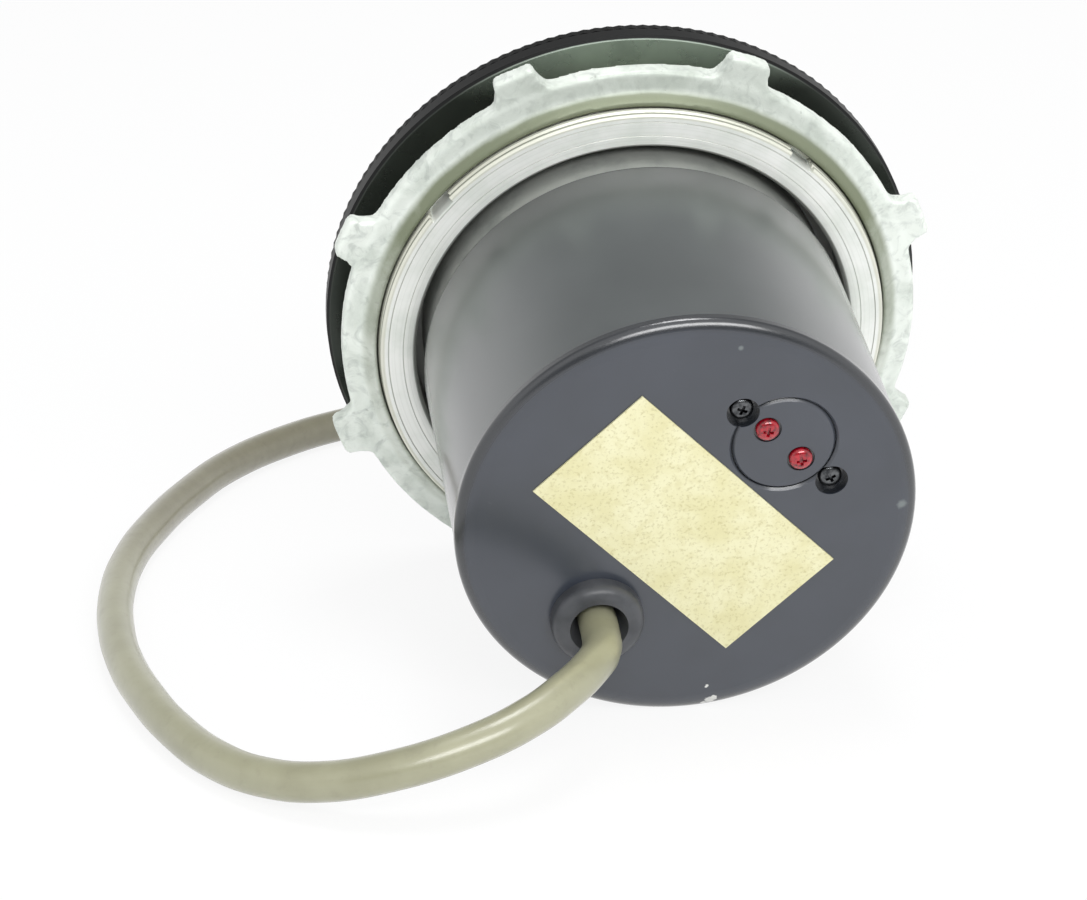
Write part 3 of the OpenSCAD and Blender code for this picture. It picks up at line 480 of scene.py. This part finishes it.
def turned_piece(name, outline, steps=144):
    """A piece turned on the lathe: its outline is drawn corner by corner, then spun about z."""
    clear_selection()
    bpy.ops.mesh.primitive_plane_add(size=MM)
    piece = bpy.context.object
    piece.name = name
    bpy.ops.object.mode_set(mode="EDIT")
    bpy.ops.mesh.select_all(action="SELECT")
    bpy.ops.mesh.merge(type="CENTER")
    bpy.ops.transform.translate(value=(outline[0][0] * MM, 0, outline[0][1] * MM))
    for (r0, z0), (r1, z1) in zip(outline, outline[1:]):
        bpy.ops.mesh.extrude_vertices_move(TRANSFORM_OT_translate={"value": ((r1 - r0) * MM, 0, (z1 - z0) * MM)})
    bpy.ops.mesh.select_all(action="SELECT")
    bpy.ops.mesh.spin(steps=steps, angle=2 * math.pi, center=(0, 0, 0), axis=(0, 0, 1))
    bpy.ops.mesh.select_all(action="SELECT")
    bpy.ops.mesh.remove_doubles(threshold=0.002 * MM)
    bpy.ops.mesh.normals_make_consistent(inside=False)
    bpy.ops.object.mode_set(mode="OBJECT")
    return piece


def cut(piece, cutter):
    """Takes the cutter's shape out of the piece."""
    apply_modifier(piece, "BOOLEAN", operation="DIFFERENCE", solver="EXACT", object=cutter)
    bpy.data.objects.remove(cutter)
    return piece


def box(name, size, at):
    """A block given by its three lengths and its middle, in millimetres."""
    clear_selection()
    bpy.ops.mesh.primitive_cube_add(size=1, location=[a * MM for a in at])
    piece = bpy.context.object
    piece.name = name
    piece.scale = [s * MM for s in size]
    bpy.ops.object.transform_apply(location=True, rotation=True, scale=True)
    return piece


def finish_piece(piece, body, slot, finish, *nodes, smooth=30):
    """Smooths, paints and hangs a finished piece on its body in place of its CAD nodes."""
    clear_selection()
    piece.select_set(True)
    bpy.context.view_layer.objects.active = piece
    bpy.ops.object.shade_smooth_by_angle(angle=math.radians(smooth))
    piece.data.materials.clear()
    piece.data.materials.append(finish)
    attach(piece, body)
    if nodes:
        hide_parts(*nodes)
    return piece


# ---------------------------------------------------------------- threaded collar and cast nut

def threaded_collar():
    """Collar with its thread cut ring by ring, turned marks on its rear face and four spanner notches."""
    seat_r, crest, root, pitch = 44.4, 45.0, 44.15, 1.5
    outline = [(15.1, 0), (seat_r, 0), (seat_r, 5.2)]
    z = 5.5
    while z < 11:
        outline += [(root, z), (crest, z + 0.62), (crest, z + 0.84), (root, z + 1.46)]
        z += pitch
    outline += [(root, z), (44.8, z + 0.5), (44.8, 12.5), (44.4, 12.9), (43.5, 12.9), (43.42, 12.82), (43.34, 12.9), (40.9, 12.9),
                (40.82, 12.84), (40.74, 12.9), (39.35, 12.9), (38.9, 12.7), (38.5, 12.1), (38.5, 3.5), (15.1, 3.5),
                (15.1, 0)]
    collar = turned_piece("collar_thread", outline, 192)
    for turn in range(4):
        notch = box("notch", (2.8, 5.2, 6), (45.2, 0, 10.9))
        notch.data.transform(Matrix.Rotation(math.radians(51 + 90 * turn), 4, "Z"))
        cut(collar, notch)
        hole = turned_piece("screw_hole", [(0, -1), (2.2, -1), (2.2, 6), (0, 6)], 24)
        angle = math.radians(45 + 90 * turn)
        hole.data.transform(Matrix.Translation((30 * MM * math.cos(angle), 30 * MM * math.sin(angle), 0)))
        cut(collar, hole)
    collar.data.transform(LAY)
    finish_piece(collar, "body", "bright_collar", FINISHES["bright_collar"], "threaded_collar")


def cast_nut():
    """The nut as it leaves the mould: edges rounded off and its skin a little uneven, never past its gauge."""
    nut = copy_of(frame["nodes"]["lock_nut"], "cast_nut")
    clear_selection()
    nut.select_set(True)
    bpy.context.view_layer.objects.active = nut
    bpy.ops.object.mode_set(mode="EDIT")
    bpy.ops.mesh.select_all(action="SELECT")
    bpy.ops.mesh.remove_doubles(threshold=0.001 * MM)
    bpy.ops.object.mode_set(mode="OBJECT")
    apply_modifier(nut, "REMESH", mode="VOXEL", voxel_size=0.42 * MM, use_smooth_shade=True)
    apply_modifier(nut, "SMOOTH", factor=0.5, iterations=2)
    lumps = bpy.data.textures.new("casting_lumps", "CLOUDS")
    lumps.noise_scale = 9 * MM
    lumps.noise_depth = 2
    apply_modifier(nut, "DISPLACE", texture=lumps, texture_coords="LOCAL", strength=0.16 * MM, mid_level=1.0)
    finish_piece(nut, "body", "zinc_casting", FINISHES["zinc_casting"], "lock_nut", smooth=50)


threaded_collar()
cast_nut()


# ---------------------------------------------------------------- cable tie

def cable_tie():
    """Nylon strap drawn tight round the three turns that lie together, with its lock and its cut end."""
    turns = (Vector((35.8, 0, 3.3)), Vector((42.3, 0, 3.3)), Vector((32.55, 0, 9.8)))
    reach, width, floor_gap = 3.65, 3.6, 0.4
    outline = []
    for step in range(41):
        outwards = Matrix.Rotation(math.radians(9 * step), 3, "Y") @ Vector((1, 0, 0))
        point = max(turns, key=lambda turn: turn.dot(outwards)) + outwards * reach
        point.z = max(point.z, floor_gap)
        outline.append(point)
    clear_selection()
    bpy.ops.mesh.primitive_plane_add(size=MM)
    strap = bpy.context.object
    bpy.ops.object.mode_set(mode="EDIT")
    bpy.ops.mesh.select_all(action="SELECT")
    bpy.ops.mesh.merge(type="CENTER")
    bpy.ops.transform.translate(value=(outline[0] - Vector((0, width / 2, 0))) * MM)
    for a, b in zip(outline, outline[1:]):
        bpy.ops.mesh.extrude_vertices_move(TRANSFORM_OT_translate={"value": (b - a) * MM})
    bpy.ops.mesh.select_all(action="SELECT")
    bpy.ops.mesh.remove_doubles(threshold=0.002 * MM)
    bpy.ops.mesh.extrude_edges_move(TRANSFORM_OT_translate={"value": (0, width * MM, 0)})
    bpy.ops.mesh.select_all(action="SELECT")
    bpy.ops.mesh.normals_make_consistent(inside=False)
    bpy.ops.object.mode_set(mode="OBJECT")
    apply_modifier(strap, "SOLIDIFY", thickness=0.7 * MM, offset=0)
    slope = (turns[1] - turns[2]).normalized()
    out = Vector((-slope.z, 0, slope.x))
    middle = (turns[1] + turns[2]) / 2 + out * (reach + 1.3)
    lean = Matrix((slope, (0, 1, 0), out)).transposed().to_4x4()
    lock = box("tie_lock", (4.4, 5.0, 2.8), (0, 0, 0))
    end = box("tie_end", (8.0, 3.4, 0.8), (3.2, 0, 0.3))
    for piece in (lock, end):
        piece.data.transform(Matrix.Translation(middle * MM) @ lean)
    tie = join("cable_tie_strap", [strap, lock, end])
    apply_modifier(tie, "BEVEL", width=0.18 * MM, segments=2)
    tie.data.transform(Matrix.Translation((COIL_AT.x * MM, COIL_AT.y * MM, 0))
                       @ Matrix.Rotation(math.radians(200), 4, "Z"))
    return finish_piece(tie, "body", "black_plastic", FINISHES["black_plastic"], "cable_tie")


cable_tie()


# ---------------------------------------------------------------- screws of the rear cover

def crossed_head(name, radius, height, crown, recess, deep, shank_r, shank_l):
    """Pan-head screw standing on z = 0, with a cross recess that narrows as it goes down."""
    steps = 7
    outline = [(0, -shank_l), (shank_r - 0.2, -shank_l), (shank_r, -shank_l + 0.3), (shank_r, 0), (radius, 0),
               (radius, height * 0.45)]
    for i in range(1, steps + 1):
        angle = math.radians(90 * i / steps)
        outline.append((radius * math.cos(angle), height * 0.45 + (height * 0.55 + crown) * math.sin(angle) ** 0.8))
    screw = turned_piece(name, outline, 48)
    for turn in (0, 90):
        slot = box("slot", (recess, recess * 0.26, 2 * deep), (0, 0, height + crown))
        clear_selection()
        slot.select_set(True)
        bpy.context.view_layer.objects.active = slot
        bpy.ops.object.mode_set(mode="EDIT")
        bpy.ops.mesh.select_all(action="DESELECT")
        bpy.ops.object.mode_set(mode="OBJECT")
        for face in slot.data.polygons:
            face.select = face.normal.z < -0.9
        bpy.ops.object.mode_set(mode="EDIT")
        bpy.ops.mesh.select_mode(type="FACE")
        bpy.ops.transform.resize(value=(0.55, 0.7, 1), center_override=(0, 0, 0))
        bpy.ops.mesh.select_mode(type="VERT")
        bpy.ops.object.mode_set(mode="OBJECT")
        slot.data.transform(Matrix.Rotation(math.radians(turn), 4, "Z"))
        cut(screw, slot)
    return screw


DISC_AT = Vector((20.9 * math.cos(math.radians(44.5)), 20.9 * math.sin(math.radians(44.5)), 0))


def pair_on_disc(name, screw, spread, shift, row_turn, height, turns):
    """Two copies of a screw in a row over the adjusting disc, joined as one piece and laid down."""
    row = Matrix.Translation(DISC_AT * MM) @ Matrix.Rotation(math.radians(-45 + row_turn), 4, "Z")
    pair = []
    for side, turn in zip((-1, 1), turns):
        at = Matrix.Translation(((shift + side * spread) * MM, 0, height * MM))
        pair.append(copy_of(screw, name, LAY @ row @ at @ Matrix.Rotation(math.radians(turn), 4, "Z")))
    bpy.data.objects.remove(screw)
    return join(name, pair)


def cover_screws():
    clamp = crossed_head("clamp_screw", 1.95, 0.85, 0.35, 2.3, 0.8, 1.1, 3.8)
    clamp = pair_on_disc("clamp_screw_heads", clamp, 10.3, 0.8, 3.3, REAR_Z - 1.9, (20, 68))
    finish_piece(clamp, "body", "black_steel", FINISHES["black_steel"], "disc_clamp_screws")
    sealed = crossed_head("sealed_screw", 1.95, 0.9, 0.6, 2.3, 0.6, 1.1, 2.8)
    sealed = pair_on_disc("sealed_screw_heads", sealed, 4.1, 0, 0, REAR_Z - 0.6, (38, 52))
    finish_piece(sealed, "body", "red_lacquer", FINISHES["red_lacquer"], "sealed_screws")


cover_screws()


# ---------------------------------------------------------------- dial

DIAL_OUT, DIAL_IN = Vector((52.6, -5.1)), Vector((45.2, -12.2))
DIAL_RUN = (DIAL_IN - DIAL_OUT).normalized()


def dial_place(turn, run):
    """Frame on the wheel's bevel: x clockwise seen from the front, y outwards, z off the surface."""
    spot = DIAL_OUT + DIAL_RUN * run
    across = Vector((-1, 0, 0))
    outwards = Vector((0, -DIAL_RUN.x, -DIAL_RUN.y))
    frame_on_top = Matrix((across, outwards, across.cross(outwards))).transposed().to_4x4()
    return (LAY @ Matrix.Rotation(math.radians(turn), 4, "Z")
            @ Matrix.Translation((0, spot.x * MM, spot.y * MM)) @ frame_on_top)


def dial_marks():
    """A hundred raised marks round the bevel, longer at the fives and longest at the tens."""
    marks = []
    for i in range(100):
        long = 4.2 if i % 10 == 0 else 3.2 if i % 5 == 0 else 2.2
        mark = box("mark", (0.34 if i % 10 == 0 else 0.24, long, 0.14), (0, 0, 0))
        mark.data.transform(dial_place(-3.6 * i, 0.5 + long / 2))
        marks.append(mark)
    marks = join("dial_marks", marks)
    apply_modifier(marks, "BEVEL", width=0.03 * MM, segments=1)
    finish_piece(marks, "wheel", "plate_foil", DIAL_WHITE)


def dial_numbers():
    """The tens from 0 to 90, upright seen from the hub."""
    numbers = []
    for i in range(10):
        clear_selection()
        bpy.ops.object.text_add()
        number = bpy.context.object
        number.data.body = str(10 * i)
        number.data.size = 4.3 * MM
        number.data.align_x, number.data.align_y = "CENTER", "CENTER"
        number.data.extrude = 0.09 * MM
        number.data.resolution_u = 4
        bpy.ops.object.convert(target="MESH")
        number = bpy.context.object
        number.data.transform(dial_place(-36 * i, 6.9))
        numbers.append(number)
    finish_piece(join("dial_numbers", numbers), "wheel", "plate_foil", DIAL_WHITE)


dial_marks()
dial_numbers()


# ---------------------------------------------------------------- floor and light

def make_floor():
    """White floor; seen straight on it is lifted towards white, so that it keeps only a soft shadow."""
    bpy.ops.object.select_all(action="DESELECT")
    bpy.ops.mesh.primitive_plane_add(size=6, location=(0, 0, 0))
    floor = bpy.context.object
    floor.name = "floor"
    paint = Paint("floor", Roughness=0.9, Specular_IOR_Level=0.1)
    faint = paint.noise(paint.place(), 400, 2)
    floor.data.materials.append(paint.feed(Base_Color=paint.mix(faint, tone(246, 247, 248), tone(250, 250, 251))))
    seen = paint.node("ShaderNodeLightPath", {}, {}, "Is Camera Ray").most(
        paint.node("ShaderNodeLightPath", {}, {}, "Is Glossy Ray")).most(
        paint.node("ShaderNodeLightPath", {}, {}, "Is Transmission Ray"))
    white = paint.node("ShaderNodeEmission", {}, {"Color": (1, 1, 1, 1), "Strength": 1.0})
    lifted = paint.node("ShaderNodeMixShader", {}, {0: seen * 0.88, 1: Wire(paint, paint.surface.outputs[0]), 2: white})
    paint.tree.links.new(lifted.socket, paint.tree.nodes["Material Output"].inputs["Surface"])


def make_world():
    """White where the camera sees it; as light, a pale room whose ceiling darkens beyond the object."""
    world = bpy.data.worlds.new("world")
    bpy.context.scene.world = world
    world.use_nodes = True
    room = Room(world.node_tree)
    rays = {name: room.node("ShaderNodeLightPath", {}, {}, "Is %s Ray" % name)
            for name in ("Camera", "Glossy", "Transmission")}
    there = room.place()
    up, away = there.part("Z"), there.part("Y")
    ceiling = up.step(0.2, 0.7) * away.step(-0.35, 0.35) * 0.6
    behind = (1 - up.step(0.3, 0.6)) * (1 - away.step(-0.9, -0.5)) * 0.8
    mirrored = rays["Glossy"].most(rays["Transmission"])
    dark = ceiling.most(behind)
    level = 0.70 * (1 - dark * 0.4)
    level = level + mirrored * (1 - dark - level)
    level = level * (1 - rays["Camera"]) + rays["Camera"]
    room.tree.links.new(level.socket, room.surface.inputs["Strength"])
    room.surface.inputs["Color"].default_value = (1, 1, 1, 1)


def make_lamp(name, place, aim, size, power):
    data = bpy.data.lights.new(name, "AREA")
    data.shape = "RECTANGLE"
    data.size, data.size_y = size
    data.energy = power
    lamp = bpy.data.objects.new(name, data)
    bpy.context.scene.collection.objects.link(lamp)
    lamp.location = place
    lamp.rotation_mode = "QUATERNION"
    lamp.rotation_quaternion = (Vector(aim) - Vector(place)).to_track_quat("-Z", "Y")


make_floor()
make_world()
make_lamp("key", (0.12, -0.86, 0.56), (0, 0, 0.05), (0.78, 0.30), 6)
make_lamp("top", (0.05, 0.02, 0.95), (0, 0, 0.05), (0.35, 0.25), 2.6)

bpy.context.scene.view_settings.view_transform = "Standard"
